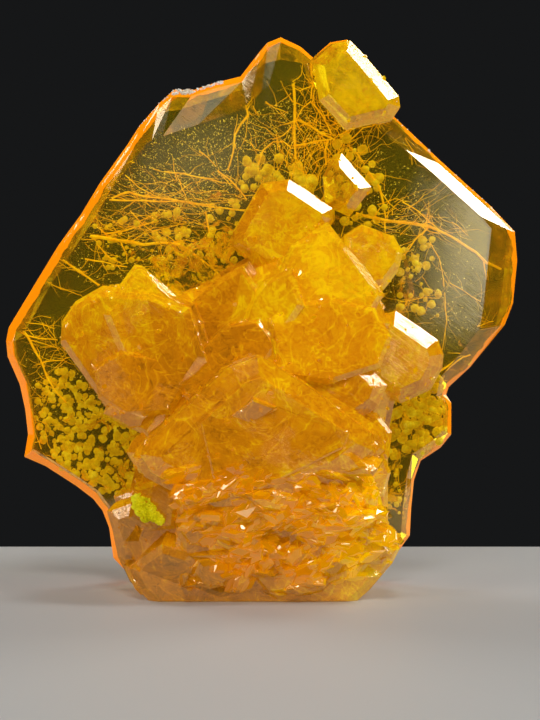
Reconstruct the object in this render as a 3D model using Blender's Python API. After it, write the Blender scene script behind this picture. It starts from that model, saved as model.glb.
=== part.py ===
# Wulfenite: a clear tabular plate with a cluster of smaller crystals grown over its front.
# The plate's broad face looks along -Y, and the flat break at the foot lies on Z = 0.
# Outlines are (x, z) corners in millimetres, seen from the front. Depths are y in millimetres.

import math
import random

import bmesh
import bpy
from mathutils import Matrix, Vector

MM = 0.001

# Main plate
PLATE_FRONT = 0.0
PLATE_GIRDLE = (0.95, 1.2)
PLATE_BACK = 2.0
BACK_BEVEL_SHARE = 0.5

# The front bevel has two steps. The steep outer one is wider on the left than on the right.
RIM_DEPTH = 0.62
RIM_LEFT = (-5.0, 0.55)
RIM_RIGHT = (4.0, 0.27)
RIM_LIMIT = 0.6

# Each corner of the plate: on its girdle, and on its front face inside the bevel.
PLATE_CORNERS = [
    ((1.4, 41.3), (1.4, 37.7)),
    ((2.9, 40.6), (2.6, 37.9)),
    ((3.8, 39.8), (3.5, 37.6)),
    ((6.3, 37.6), (5.7, 36.7)),
    ((8.5, 35.7), (7.9, 34.9)),
    ((9.8, 35.5), (8.8, 34.5)),
    ((11.6, 33.8), (10.7, 32.9)),
    ((13.4, 32.1), (12.6, 31.3)),
    ((15.3, 30.4), (14.5, 29.6)),
    ((17.2, 28.7), (16.4, 27.9)),
    ((19.0, 26.8), (17.15, 27.05)),
    ((19.2, 24.6), (16.9, 24.5)),
    ((18.9, 21.4), (16.6, 21.3)),
    ((18.3, 19.8), (16.3, 19.5)),
    ((15.7, 16.6), (14.8, 17.6)),
    ((14.1, 15.1), (13.4, 15.9)),
    ((13.9, 14.5), (13.1, 14.5)),
    ((14.3, 13.9), (13.6, 13.5)),
    ((14.3, 11.5), (13.6, 11.9)),
    ((13.5, 10.5), (12.8, 11.1)),
    ((12.0, 9.5), (11.3, 10.1)),
    ((11.5, 8.0), (10.9, 8.3)),
    ((11.3, 5.9), (10.6, 6.0)),
    ((11.2, 3.8), (10.5, 4.2)),
    ((10.7, 3.1), (10.0, 3.7)),
    ((9.3, 1.0), (8.6, 1.8)),
    ((5.1, -0.9), (4.8, -0.4)),
    ((-8.5, -0.9), (-8.0, -0.4)),
    ((-11.3, 2.1), (-10.7, 2.6)),
    ((-11.6, 4.4), (-10.9, 4.6)),
    ((-12.1, 5.7), (-11.5, 6.2)),
    ((-12.8, 6.6), (-12.3, 7.3)),
    ((-14.1, 7.6), (-13.7, 8.3)),
    ((-16.4, 9.1), (-16.0, 9.8)),
    ((-18.0, 9.8), (-17.2, 10.5)),
    ((-17.7, 11.5), (-17.0, 11.5)),
    ((-17.9, 13.4), (-17.2, 13.4)),
    ((-18.3, 15.3), (-17.5, 15.5)),
    ((-19.2, 17.4), (-18.4, 17.6)),
    ((-19.3, 18.6), (-18.5, 18.6)),
    ((-19.1, 19.6), (-17.9, 19.1)),
    ((-16.9, 23.2), (-15.9, 22.7)),
    ((-15.3, 25.8), (-14.3, 25.2)),
    ((-13.6, 28.1), (-12.7, 27.5)),
    ((-12.2, 30.4), (-11.3, 29.9)),
    ((-10.1, 33.3), (-9.2, 32.6)),
    ((-9.2, 34.7), (-8.6, 33.4)),
    ((-7.7, 36.4), (-8.2, 33.6)),
    ((-6.6, 37.4), (-7.4, 33.9)),
    ((-5.1, 37.4), (-6.5, 34.2)),
    ((-3.6, 37.9), (-4.7, 34.8)),
    ((-1.6, 38.4), (-1.1, 36.0)),
    ((-0.2, 40.2), (0.0, 37.3)),
    ((0.4, 40.9), (0.5, 37.6)),
]

# Smaller crystals. A bevel drops its slope times its width, and takes at most a limited share
# of a layer's thickness. Lengths are in millimetres, growth is a share of the outline.
STEEP = 0.74
SHALLOW = 0.3
STEP_GROWTH = 0.05
STEP_SHIFT = 0.25
STEP_OVERLAP = 0.2
STEP_JITTER = 0.28
BEVEL_LIMIT = 0.42
CUT_TOLERANCE = 1e-7
GROWTH_SEED = 7

# Each crystal: name, front depth, back depth, (bevel width, bevel slope), (tilt in x, tilt in z),
# growth steps, outline. A tilt is the depth gained per millimetre across or up.
CRYSTALS = [
    ("crown", -1.7, 1.6, (0.9, STEEP), (-0.02, 0.03), 2, [
        (3.7, 39.3), (5.3, 40.7), (6.5, 40.9), (7.5, 39.9), (10.1, 36.8), (10.2, 36.0),
        (9.6, 35.1), (6.2, 34.3), (4.2, 36.5)]),
    ("upper left", -2.7, 0.7, (1.1, STEEP), (0.0, 0.0), 2, [
        (-2.1, 25.8), (-2.0, 26.9), (0.0, 30.3), (2.0, 30.6), (5.2, 28.5), (5.2, 27.7),
        (2.8, 24.4), (0.0, 24.0)]),
    ("small top", -1.6, 0.8, (0.8, STEEP), (0.0, 0.0), 1, [
        (4.5, 30.9), (5.3, 32.5), (5.9, 32.6), (8.1, 30.1), (7.9, 29.7), (6.5, 27.9), (4.7, 28.7)]),
    ("right of centre", -2.8, 0.6, (0.5, STEEP), (0.12, 0.1), 2, [
        (6.1, 26.6), (7.4, 27.4), (9.8, 26.5), (10.5, 25.3), (10.2, 24.3), (9.1, 22.9),
        (7.2, 22.4), (5.8, 23.8)]),
    ("centre upper", -4.4, 0.9, (0.4, STEEP), (0.12, 0.26), 3, [
        (2.1, 25.9), (5.0, 27.8), (6.3, 25.9), (7.7, 24.3), (9.0, 22.3), (7.1, 19.4),
        (2.8, 19.4), (0.6, 22.3)]),
    ("centre left lobe", -5.3, 0.5, (0.4, STEEP), (-0.3, 0.15), 3, [
        (-1.5, 20.4), (-0.9, 22.1), (0.0, 23.3), (2.0, 24.3), (3.1, 21.5), (1.7, 19.4),
        (-0.5, 19.4)]),
    ("right tablet", -3.4, 0.75, (1.0, STEEP), (0.0, 0.0), 2, [
        (8.7, 20.5), (9.8, 20.9), (12.8, 18.8), (13.2, 17.8), (13.1, 16.8), (12.3, 15.3),
        (10.1, 14.3), (7.9, 15.7), (7.6, 19.4)]),
    ("small right", -4.2, 0.3, (0.6, STEEP), (0.2, 0.1), 2, [
        (7.7, 22.5), (8.8, 21.6), (9.5, 20.1), (8.3, 18.3), (6.4, 19.4), (6.4, 21.6)]),
    ("middle right", -5.8, 0.4, (0.9, STEEP), (0.0, 0.0), 3, [
        (5.3, 17.8), (6.7, 18.0), (9.1, 15.7), (8.5, 14.2), (7.1, 13.2), (4.2, 12.9), (2.8, 15.8)]),
    ("left lobe", -4.6, 0.65, (0.45, STEEP), (-0.25, 0.0), 3, [
        (-15.0, 18.5), (-14.9, 20.0), (-13.9, 21.4), (-11.9, 22.5), (-8.1, 22.3), (-5.2, 21.3),
        (-3.8, 17.2), (-7.4, 12.8), (-8.1, 11.8), (-10.8, 13.0), (-12.1, 14.8)]),
    ("left peak", -4.4, 0.85, (0.45, STEEP), (0.1, 0.1), 3, [
        (-10.5, 22.3), (-9.0, 24.3), (-8.5, 24.2), (-5.2, 21.3), (-4.5, 19.4), (-7.4, 16.5),
        (-10.3, 17.9), (-11.5, 20.8)]),
    ("middle left", -4.1, 0.55, (0.35, STEEP), (-0.1, 0.0), 3, [
        (-5.4, 21.4), (-3.4, 23.2), (-1.4, 24.3), (0.0, 22.3), (0.0, 19.4), (-2.0, 17.8),
        (-4.1, 16.3), (-6.1, 17.2), (-7.1, 19.4)]),
    ("left shoulder", -5.3, 0.8, (0.35, STEEP), (-0.1, 0.12), 3, [
        (-12.3, 17.1), (-10.2, 18.3), (-7.4, 17.8), (-5.0, 16.3), (-6.6, 13.6), (-9.9, 13.4),
        (-11.9, 14.7)]),
    ("left low facet", -5.2, 0.45, (0.5, STEEP), (-0.15, -0.6), 2, [
        (-11.6, 13.4), (-10.9, 14.2), (-9.4, 14.3), (-7.9, 13.5), (-8.5, 12.2), (-9.8, 12.0)]),
    ("middle band", -5.7, 0.4, (0.35, STEEP), (0.1, 0.22), 3, [
        (0.4, 20.4), (1.8, 21.7), (5.2, 22.1), (8.3, 21.4), (9.5, 19.2), (8.6, 17.0),
        (4.8, 15.8), (1.2, 16.4)]),
    ("middle left band", -5.6, 0.4, (0.3, STEEP), (-0.16, 0.2), 3, [
        (-6.2, 16.0), (-5.0, 18.0), (-2.6, 20.2), (-0.2, 20.6), (1.2, 18.6), (-1.0, 15.6), (-4.8, 13.4)]),
    ("right ledge high", -4.6, 0.4, (0.4, STEEP), (0.3, 0.2), 2, [
        (6.8, 13.4), (8.6, 13.7), (9.7, 12.2), (9.3, 10.3), (7.4, 9.8)]),
    ("right ledge low", -4.9, 0.3, (0.35, STEEP), (0.4, -0.15), 2, [
        (7.0, 10.6), (8.8, 10.8), (9.6, 9.2), (9.2, 7.4), (7.3, 7.2)]),
    ("great tablet", -9.2, -2.6, (1.2, SHALLOW), (0.0, 0.0), 4, [
        (-8.6, 11.0), (-8.3, 11.7), (-5.0, 14.7), (-2.6, 17.1), (-0.3, 18.0), (0.2, 17.9),
        (2.7, 16.3), (7.8, 12.6), (7.9, 11.3), (5.5, 9.5), (0.0, 7.5), (-3.3, 7.3), (-7.8, 9.7)]),
    ("terrace", -9.38, -8.4, (0.14, SHALLOW), (0.0, 0.0), 1, [
        (-4.3, 13.3), (-1.2, 16.2), (0.0, 16.6), (6.2, 12.6), (5.9, 11.6), (-0.1, 8.6),
        (-3.3, 8.9)]),
    ("small facet", -9.6, -8.6, (0.15, STEEP), (0.0, -0.3), 1, [
        (-2.1, 13.8), (-0.6, 15.1), (1.1, 14.4), (0.0, 13.6), (-0.9, 13.2)]),
    ("lower left dark", -5.0, 0.55, (0.7, STEEP), (-0.2, -0.2), 2, [
        (-11.5, 6.2), (-9.2, 7.1), (-7.0, 6.5), (-6.1, 5.6), (-7.4, 4.2), (-9.0, 2.6),
        (-10.9, 2.6), (-11.1, 4.9)]),
    ("lower left smooth", -6.4, 0.35, (0.5, STEEP), (-0.2, -0.5), 3, [
        (-9.5, 2.0), (-8.9, 3.0), (-7.1, 4.4), (-5.1, 3.7), (-4.4, 2.8), (-4.6, 1.8),
        (-6.6, 0.5), (-8.0, 0.5)]),
    ("lower round", -7.2, -0.5, (0.35, STEEP), (0.1, -0.3), 3, [
        (-4.8, 2.2), (-4.5, 3.1), (-3.7, 3.3), (-1.9, 2.9), (-1.8, 2.1), (-2.6, 1.2),
        (-3.7, 0.9), (-4.5, 1.3)]),
    ("lower right", -5.2, 0.5, (0.6, STEEP), (0.5, -0.1), 2, [
        (5.3, 2.7), (6.0, 5.5), (8.2, 5.3), (10.4, 3.8), (10.6, 3.5), (10.0, 2.4),
        (8.8, 1.3), (6.4, 1.0)]),
    ("right shoulder", -5.2, 0.25, (0.4, STEEP), (0.35, 0.0), 3, [
        (5.7, 9.2), (8.0, 10.3), (8.9, 8.5), (9.1, 6.3), (10.4, 4.0), (7.1, 3.6), (4.9, 5.6)]),
    ("crust shelf", -6.6, 0.15, (0.3, STEEP), (0.0, 0.0), 2, [
        (-9.6, 6.2), (-9.2, 8.4), (-7.2, 9.0), (-6.0, 7.6), (-6.3, 5.4), (-8.4, 5.2)]),
    ("low core", -5.4, 0.95, (1.0, STEEP), (0.0, 0.0), 3, [
        (-8.1, 11.4), (-0.8, 18.6), (6.4, 17.2), (8.4, 10.0), (8.4, 3.5), (4.9, 0.6),
        (-8.1, 0.6), (-10.0, 4.2)]),
    ("high core", -3.2, 1.05, (1.0, STEEP), (0.0, 0.0), 2, [
        (-11.1, 19.4), (-7.5, 21.6), (2.8, 25.3), (7.2, 23.1), (9.7, 15.7), (8.8, 11.3),
        (-4.5, 8.4), (-10.8, 14.3)]),
    ("front core", -7.4, -1.2, (0.8, STEEP), (0.0, -0.28), 2, [
        (-5.9, 9.4), (5.8, 10.2), (8.3, 8.0), (8.4, 3.2), (4.6, 1.0), (-5.8, 1.0), (-6.2, 4.0)]),
    ("root", -6.0, 3.4, (0.6, STEEP), (0.0, 0.0), 3, [
        (-9.7, 2.4), (-8.2, 3.6), (6.2, 3.6), (8.7, 1.9), (7.7, 0.7), (5.4, -1.5),
        (-6.8, -1.5), (-8.9, 0.7)]),
    ("back left", 1.4, 4.3, (0.6, STEEP), (0.15, -0.3), 2, [
        (-7.4, -1.0), (-8.6, 2.6), (-6.8, 6.2), (-3.6, 6.9), (-1.9, 3.8), (-2.6, -1.0)]),
    ("back right", 1.3, 3.7, (0.6, STEEP), (-0.1, -0.25), 2, [
        (-1.8, -1.0), (-2.6, 3.4), (-0.4, 5.2), (3.4, 4.8), (5.4, 2.3), (4.0, -1.0)]),
    ("back high", 1.5, 3.1, (0.5, STEEP), (0.05, -0.1), 1, [
        (-3.9, 5.0), (-4.4, 8.4), (-1.9, 10.3), (1.2, 9.0), (1.6, 6.2), (-1.0, 4.4)]),
    ("back step", 1.6, 2.5, (0.35, STEEP), (0.0, 0.0), 1, [
        (6.2, 20.6), (5.4, 23.9), (7.6, 26.2), (10.9, 25.0), (11.6, 21.8), (9.0, 19.8)]),
]

# Overlapping blades stacked like shingles between the great tablet and the root, each with
# a ledge below it. Each row: front depth of its blades and the path of their centres.
BLADE_ROWS = [
    (-9.2, [(-5.4, 10.4), (-3.3, 8.4), (0.6, 8.9), (5.9, 11.2)]),
    (-9.0, [(-4.3, 9.2), (-2.2, 7.7), (2.7, 8.4), (7.4, 10.3)]),
    (-8.7, [(-3.6, 8.0), (-2.2, 7.0), (3.0, 7.5), (7.8, 9.4)]),
    (-8.5, [(-3.6, 7.0), (-2.0, 6.3), (3.6, 6.7), (8.2, 8.2)]),
    (-8.2, [(-3.6, 6.0), (-1.5, 5.6), (4.2, 5.9), (8.6, 6.9)]),
    (-7.9, [(-4.0, 5.0), (-1.5, 4.7), (4.6, 5.1), (8.8, 5.6)]),
    (-7.5, [(-4.9, 4.0), (-0.1, 3.7), (4.9, 4.2), (8.8, 4.5)]),
    (-7.1, [(-4.5, 3.1), (-0.1, 2.8), (4.9, 3.3), (8.4, 3.4)]),
    (-6.7, [(-4.0, 2.2), (-0.1, 1.9), (4.9, 2.4), (7.6, 2.6)]),
    (-6.4, [(-6.4, 1.6), (-0.8, 1.2), (4.9, 1.5)]),
]
BLADES_PER_ROW = 5
BLADE_SPREAD = (0.0, 1.0)
BLADE_DROP = 0.45
BLADE_LENGTH = 2.6
BLADE_RIGHT = 10.6
BLADE_HALF_WIDTH = (0.9, 4.0)
BLADE_HALF_HEIGHT = (0.4, 1.1)
BLADE_CORNERS = (5, 8)
BLADE_CORNER_JITTER = 0.42
BLADE_TURN = 0.42
BLADE_TILT_ACROSS = 0.36
BLADE_TILT_UP = (-0.3, 0.34)
BLADE_BEVEL = (0.3, 1.2)
BLADE_DEPTH_JITTER = 0.36

# Yellow-green crust of small round grains on its shelf
CRUST_GAP = 0.3
CRUST_SHELF = -6.6
CRUST_CENTRE = (-7.9, 7.0)
CRUST_GRAIN = 0.62
CRUST_STAND = 0.27
CRUST_CUTTER = 20.0
CRUST_SIZES = (0.85, 1.15)
CRUST_RIGHT = -6.1
CRUST_TOP = 9.8
CRUST_GRAINS = [(0.0, 0.0), (0.75, 0.35), (-0.7, 0.3), (0.1, -0.75), (-0.35, 0.85), (0.55, 1.0),
                (0.85, -0.45)]

FLOOR_CUTTER_SIZE = 60.0

# Materials: colour, roughness, transmission
CLEAR_ORANGE = ((0.85, 0.32, 0.02), 0.08, 0.6)
YELLOW_GREEN = ((0.62, 0.6, 0.03), 0.5, 0.0)
CRYSTAL_IOR = 2.3


def clear_scene():
    for item in list(bpy.data.objects):
        bpy.data.objects.remove(item, do_unlink=True)


def new_collection(name):
    collection = bpy.data.collections.new(name)
    bpy.context.scene.collection.children.link(collection)
    return collection


def principled(name, colour, roughness, transmission):
    material = bpy.data.materials.new(name)
    material.use_nodes = True
    shader = material.node_tree.nodes["Principled BSDF"]
    shader.inputs["Base Color"].default_value = (*colour, 1.0)
    shader.inputs["Roughness"].default_value = roughness
    shader.inputs["Metallic"].default_value = 0.0
    shader.inputs["Transmission Weight"].default_value = transmission
    shader.inputs["IOR"].default_value = CRYSTAL_IOR
    return material


def make_object(name, bm, collection, material=None):
    bmesh.ops.recalc_face_normals(bm, faces=bm.faces)
    mesh = bpy.data.meshes.new(name)
    bm.to_mesh(mesh)
    bm.free()
    thing = bpy.data.objects.new(name, mesh)
    collection.objects.link(thing)
    if material:
        mesh.materials.append(material)
    return thing


def ring(bm, corners, depth):
    return [bm.verts.new((x * MM, depth * MM, z * MM)) for x, z in corners]


def bridge(bm, first, second):
    count = len(first)
    for i in range(count):
        j = (i + 1) % count
        bm.faces.new((first[i], first[j], second[j], second[i]))


def rim_width(x):
    share = (x - RIM_LEFT[0]) / (RIM_RIGHT[0] - RIM_LEFT[0])
    share = min(max(share, 0.0), 1.0)
    return RIM_LEFT[1] + (RIM_RIGHT[1] - RIM_LEFT[1]) * share


# The plate is a loft, because its front bevel changes width from edge to edge.
def plate(collection, material):
    girdle = [outer for outer, inner in PLATE_CORNERS]
    front = [inner for outer, inner in PLATE_CORNERS]
    rim = []
    back = []
    for outer, inner in PLATE_CORNERS:
        width = (Vector(inner) - Vector(outer)).length
        share = min(rim_width(outer[0]) / width, RIM_LIMIT)
        rim.append(tuple(Vector(outer).lerp(Vector(inner), share)))
        corner = Vector(outer).lerp(Vector(inner), BACK_BEVEL_SHARE)
        back.append(tuple(corner))
    bm = bmesh.new()
    rings = [
        ring(bm, front, PLATE_FRONT),
        ring(bm, rim, RIM_DEPTH),
        ring(bm, girdle, PLATE_GIRDLE[0]),
        ring(bm, girdle, PLATE_GIRDLE[1]),
        ring(bm, back, PLATE_BACK),
    ]
    for first, second in zip(rings, rings[1:]):
        bridge(bm, first, second)
    bm.faces.new(rings[0])
    bm.faces.new(rings[-1])
    return make_object("wulfenite_crystals", bm, collection, material)


# A tablet: its outline extruded in depth, then a bevel plane cut along each edge, front and
# back. The bevel is (width, slope).
def tablet(bm, outline, front, back, bevel):
    bottom = ring(bm, outline, front)
    top = ring(bm, outline, back)
    bm.faces.new(bottom)
    bm.faces.new(top)
    bridge(bm, bottom, top)
    bmesh.ops.recalc_face_normals(bm, faces=bm.faces)
    centre = middle(outline)
    width, slope = bevel
    drop = width * slope
    for start, end in zip(outline, outline[1:] + outline[:1]):
        along = (Vector(end) - Vector(start)).normalized()
        outward = Vector((along.y, -along.x))
        if outward.dot(Vector(start) - centre) < 0.0:
            outward.negate()
        for depth, facing in ((front + drop, -1.0), (back - drop, 1.0)):
            corner = Vector((start[0], depth, start[1])) * MM
            facet = Vector((outward.x * drop, facing * width, outward.y * drop)).normalized()
            shave(bm, corner, facet)


def shave(bm, point, outward):
    everything = bm.verts[:] + bm.edges[:] + bm.faces[:]
    bmesh.ops.bisect_plane(
        bm, geom=everything, dist=CUT_TOLERANCE, plane_co=point, plane_no=outward, clear_outer=True)
    open_edges = [edge for edge in bm.edges if edge.is_boundary]
    bmesh.ops.holes_fill(bm, edges=open_edges)


def middle(outline):
    return sum((Vector(corner) for corner in outline), Vector((0.0, 0.0))) / len(outline)


def lean(bm, outline, front, tilt):
    centre = middle(outline)
    pivot = Matrix.Translation((centre.x * MM, front * MM, centre.y * MM))
    turn = Matrix.Rotation(math.atan(tilt[0]), 4, "Z") @ Matrix.Rotation(-math.atan(tilt[1]), 4, "X")
    bmesh.ops.transform(bm, matrix=pivot @ turn @ pivot.inverted(), verts=bm.verts)


# A crystal grows in steps: each layer behind the front one is a little larger.
def crystal(name, front, back, bevel, tilt, steps, outline, collection, chance):
    centre = middle(outline)
    thickness = (back - front) / steps
    edges = [front]
    for step in range(1, steps):
        edges.append(front + thickness * (step + chance.uniform(-STEP_JITTER, STEP_JITTER)))
    edges.append(back)
    for step in range(steps):
        growth = 1.0 + STEP_GROWTH * step
        shift = Vector((0.0, 0.0))
        if step:
            shift.x = chance.uniform(-STEP_SHIFT, STEP_SHIFT)
            shift.y = chance.uniform(-STEP_SHIFT, STEP_SHIFT)
        layer = [tuple(centre + shift + (Vector(corner) - centre) * growth) for corner in outline]
        layer_front = edges[step] - (STEP_OVERLAP if step else 0.0)
        layer_back = edges[step + 1]
        width = min(bevel[0], BEVEL_LIMIT * (layer_back - layer_front) / bevel[1])
        bm = bmesh.new()
        tablet(bm, layer, layer_front, layer_back, (width, bevel[1]))
        lean(bm, outline, front, tilt)
        make_object(name + " layer " + str(step), bm, collection)


def point_along(path, share):
    place = share * (len(path) - 1)
    index = min(int(place), len(path) - 2)
    return Vector(path[index]).lerp(Vector(path[index + 1]), place - index)


def blades(collection, chance):
    for front, path in BLADE_ROWS:
        for i in range(BLADES_PER_ROW):
            share = (i + chance.uniform(*BLADE_SPREAD)) / BLADES_PER_ROW
            centre = point_along(path, share)
            centre.y += chance.uniform(-BLADE_DROP, BLADE_DROP)
            half_width = chance.uniform(*BLADE_HALF_WIDTH)
            if centre.y < CRUST_TOP:
                half_width = min(half_width, centre.x - CRUST_RIGHT)
            half_width = min(half_width, BLADE_RIGHT - centre.x)
            half_height = chance.uniform(*BLADE_HALF_HEIGHT)
            turn = chance.uniform(-BLADE_TURN, BLADE_TURN)
            outline = []
            corners = chance.randint(*BLADE_CORNERS)
            for corner in range(corners):
                jitter = chance.uniform(-BLADE_CORNER_JITTER, BLADE_CORNER_JITTER)
                angle = math.tau * (corner + jitter) / corners
                offset = Vector((math.cos(angle) * half_width, math.sin(angle) * half_height))
                offset.rotate(Matrix.Rotation(turn, 2))
                outline.append(tuple(centre + offset))
            depth = front + chance.uniform(-BLADE_DEPTH_JITTER, BLADE_DEPTH_JITTER)
            tilt = (chance.uniform(-BLADE_TILT_ACROSS, BLADE_TILT_ACROSS), chance.uniform(*BLADE_TILT_UP))
            bm = bmesh.new()
            tablet(bm, outline, depth, depth + BLADE_LENGTH, BLADE_BEVEL)
            lean(bm, outline, depth, tilt)
            make_object("blade", bm, collection)


def grain(name, spot, chance, collection, material=None):
    radius = CRUST_GRAIN * chance.uniform(*CRUST_SIZES)
    bm = bmesh.new()
    bmesh.ops.create_icosphere(bm, subdivisions=1, radius=radius * MM)
    depth = CRUST_SHELF - CRUST_GAP - CRUST_STAND
    place = Vector((CRUST_CENTRE[0] + spot[0], depth, CRUST_CENTRE[1] + spot[1])) * MM
    spin = Matrix.Rotation(chance.uniform(0.0, math.tau), 4, "Y")
    bmesh.ops.transform(bm, matrix=Matrix.Translation(place) @ spin, verts=bm.verts)
    return make_object(name, bm, collection, material)


# The crust is a patch of grains cut flat behind, a small gap in front of its shelf.
def crust(parts, grains, guides, chance):
    green = principled("mimetite yellow-green", *YELLOW_GREEN)
    patch = grain("mimetite_crust", CRUST_GRAINS[0], chance, parts, green)
    for spot in CRUST_GRAINS[1:]:
        grain("crust grain", spot, chance, grains)
    join_all(patch, grains)
    face = CRUST_SHELF - CRUST_GAP
    size = (CRUST_CUTTER,) * 3
    centre = (CRUST_CENTRE[0], face + CRUST_CUTTER / 2.0, CRUST_CENTRE[1])
    cut(patch, box_cutter("behind the crust", size, centre, guides))


def box_cutter(name, size, centre, collection):
    bm = bmesh.new()
    bmesh.ops.create_cube(bm, size=1.0)
    bmesh.ops.scale(bm, vec=Vector(size) * MM, verts=bm.verts)
    bmesh.ops.translate(bm, vec=Vector(centre) * MM, verts=bm.verts)
    return make_object(name, bm, collection)


def join_all(target, collection):
    modifier = target.modifiers.new("grown together", "BOOLEAN")
    modifier.operation = "UNION"
    modifier.operand_type = "COLLECTION"
    modifier.collection = collection
    modifier.solver = "EXACT"


def cut(target, cutter):
    modifier = target.modifiers.new("flat cut", "BOOLEAN")
    modifier.operation = "DIFFERENCE"
    modifier.object = cutter
    modifier.solver = "EXACT"


def island(start, seen):
    found = []
    waiting = [start]
    seen.add(start)
    while waiting:
        vert = waiting.pop()
        found.append(vert)
        for edge in vert.link_edges:
            other = edge.other_vert(vert)
            if other not in seen:
                seen.add(other)
                waiting.append(other)
    return found


# Pockets sealed between crystals are filled: only the largest surface, the outside, is kept.
def keep_outside(thing):
    graph = bpy.context.evaluated_depsgraph_get()
    mesh = bpy.data.meshes.new_from_object(thing.evaluated_get(graph))
    bm = bmesh.new()
    bm.from_mesh(mesh)
    seen = set()
    islands = [island(vert, seen) for vert in bm.verts if vert not in seen]
    outside = max(islands, key=len)
    kept = set(outside)
    inner = [vert for vert in bm.verts if vert not in kept]
    bmesh.ops.delete(bm, geom=inner, context="VERTS")
    bm.to_mesh(mesh)
    bm.free()
    thing.modifiers.clear()
    mesh.name = thing.name
    thing.data = mesh


def hide_guides(collection):
    for guide in collection.all_objects:
        guide.hide_render = True
        guide.display_type = "WIRE"


def main():
    clear_scene()
    parts = new_collection("wulfenite")
    guides = new_collection("cutters")
    growths = bpy.data.collections.new("crystals to join")
    grains = bpy.data.collections.new("grains to join")
    guides.children.link(growths)
    guides.children.link(grains)
    chance = random.Random(GROWTH_SEED)

    orange = principled("wulfenite orange", *CLEAR_ORANGE)
    specimen = plate(parts, orange)
    for spec in CRYSTALS:
        crystal(*spec, growths, chance)
    blades(growths, chance)
    join_all(specimen, growths)
    half = FLOOR_CUTTER_SIZE / 2.0
    floor = box_cutter("below the break", (FLOOR_CUTTER_SIZE,) * 3, (0.0, 0.0, -half), guides)
    cut(specimen, floor)
    keep_outside(specimen)

    crust(parts, grains, guides, chance)
    hide_guides(guides)


main()
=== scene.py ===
import bpy
import bmesh
import math
import random
from mathutils import Matrix, Vector, noise
from mathutils.bvhtree import BVHTree


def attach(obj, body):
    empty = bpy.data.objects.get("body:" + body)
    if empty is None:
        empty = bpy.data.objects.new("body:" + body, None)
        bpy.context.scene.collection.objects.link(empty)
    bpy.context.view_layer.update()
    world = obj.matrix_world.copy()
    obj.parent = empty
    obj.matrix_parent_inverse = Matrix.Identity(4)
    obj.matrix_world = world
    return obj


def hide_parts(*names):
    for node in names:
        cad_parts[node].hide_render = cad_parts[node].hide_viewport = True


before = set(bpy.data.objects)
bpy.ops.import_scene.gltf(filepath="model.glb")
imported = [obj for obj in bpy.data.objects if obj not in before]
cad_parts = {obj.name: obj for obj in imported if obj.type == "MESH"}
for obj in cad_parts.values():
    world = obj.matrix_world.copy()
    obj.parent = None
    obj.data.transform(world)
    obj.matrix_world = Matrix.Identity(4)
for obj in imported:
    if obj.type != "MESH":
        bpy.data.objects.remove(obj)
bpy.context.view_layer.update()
mm = 0.001
scene = bpy.context.scene


# shared helpers

def addObject(name, mesh, *materials):
    piece = bpy.data.objects.new(name, mesh)
    scene.collection.objects.link(piece)
    for material in materials:
        mesh.materials.append(material)
    return piece


def fromBmesh(name, bm, *materials):
    mesh = bpy.data.meshes.new(name)
    bm.to_mesh(mesh)
    bm.free()
    return addObject(name, mesh, *materials)


def mergedBmesh(nodeName, distance=0.002):
    # a CAD node is loose triangles, so a copy of it is merged first
    bm = bmesh.new()
    bm.from_mesh(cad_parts[nodeName].data)
    bmesh.ops.remove_doubles(bm, verts=bm.verts, dist=distance * mm)
    return bm


def bakeModifiers(piece):
    graph = bpy.context.evaluated_depsgraph_get()
    mesh = bpy.data.meshes.new_from_object(piece.evaluated_get(graph))
    piece.modifiers.clear()
    piece.data = mesh


def newMaterial(name):
    material = bpy.data.materials.new(name)
    material.use_nodes = True
    tree = material.node_tree
    return material, tree, tree.nodes["Principled BSDF"]


def rgba(colour):
    return (*colour, 1.0)


def setInputs(node, values):
    for name, value in values.items():
        node.inputs[name].default_value = value


def smoothShaded(piece):
    for polygon in piece.data.polygons:
        polygon.use_smooth = True
    return piece


def join(tree, output, target, socket):
    tree.links.new(output, target.inputs[socket])


def addNode(tree, kind, **values):
    node = tree.nodes.new(kind)
    for key, value in values.items():
        if hasattr(node, key):
            setattr(node, key, value)
        else:
            node.inputs[key].default_value = value
    return node


def ownPlace(tree):
    return addNode(tree, "ShaderNodeTexCoord").outputs["Object"]


def separated(tree, vector, axis):
    node = addNode(tree, "ShaderNodeSeparateXYZ")
    join(tree, vector, node, "Vector")
    return node.outputs[axis]


def attribute(tree, name):
    return addNode(tree, "ShaderNodeAttribute", attribute_name=name).outputs["Fac"]


def noiseTexture(tree, place, **settings):
    node = addNode(tree, "ShaderNodeTexNoise", **settings)
    join(tree, place, node, "Vector")
    return node.outputs["Fac"]


def colourRamp(tree, value, stops):
    ramp = addNode(tree, "ShaderNodeValToRGB")
    elements = ramp.color_ramp.elements
    while len(elements) < len(stops):
        elements.new(0.5)
    for element, (position, colour) in zip(elements, stops):
        element.position = position
        element.color = rgba(colour)
    join(tree, value, ramp, "Fac")
    return ramp.outputs["Color"]


def mapRange(tree, value, fromMin, fromMax, toMin=0.0, toMax=1.0, smooth=False):
    node = addNode(tree, "ShaderNodeMapRange")
    node.interpolation_type = "SMOOTHSTEP" if smooth else "LINEAR"
    setInputs(node, {"From Min": fromMin, "From Max": fromMax, "To Min": toMin, "To Max": toMax})
    join(tree, value, node, "Value")
    return node.outputs["Result"]


def maths(tree, operation, *values, kind="ShaderNodeMath"):
    # each value is another node's output, or a number or vector as it stands
    node = addNode(tree, kind, operation=operation)
    for socket, value in zip(node.inputs, values):
        if isinstance(value, bpy.types.NodeSocket):
            tree.links.new(value, socket)
        else:
            socket.default_value = value
    return node.outputs[0]


def bumpNormal(tree, shader, height, strength, distance):
    node = addNode(tree, "ShaderNodeBump", Strength=strength, Distance=distance)
    join(tree, height, node, "Height")
    join(tree, node.outputs["Normal"], shader, "Normal")


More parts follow.
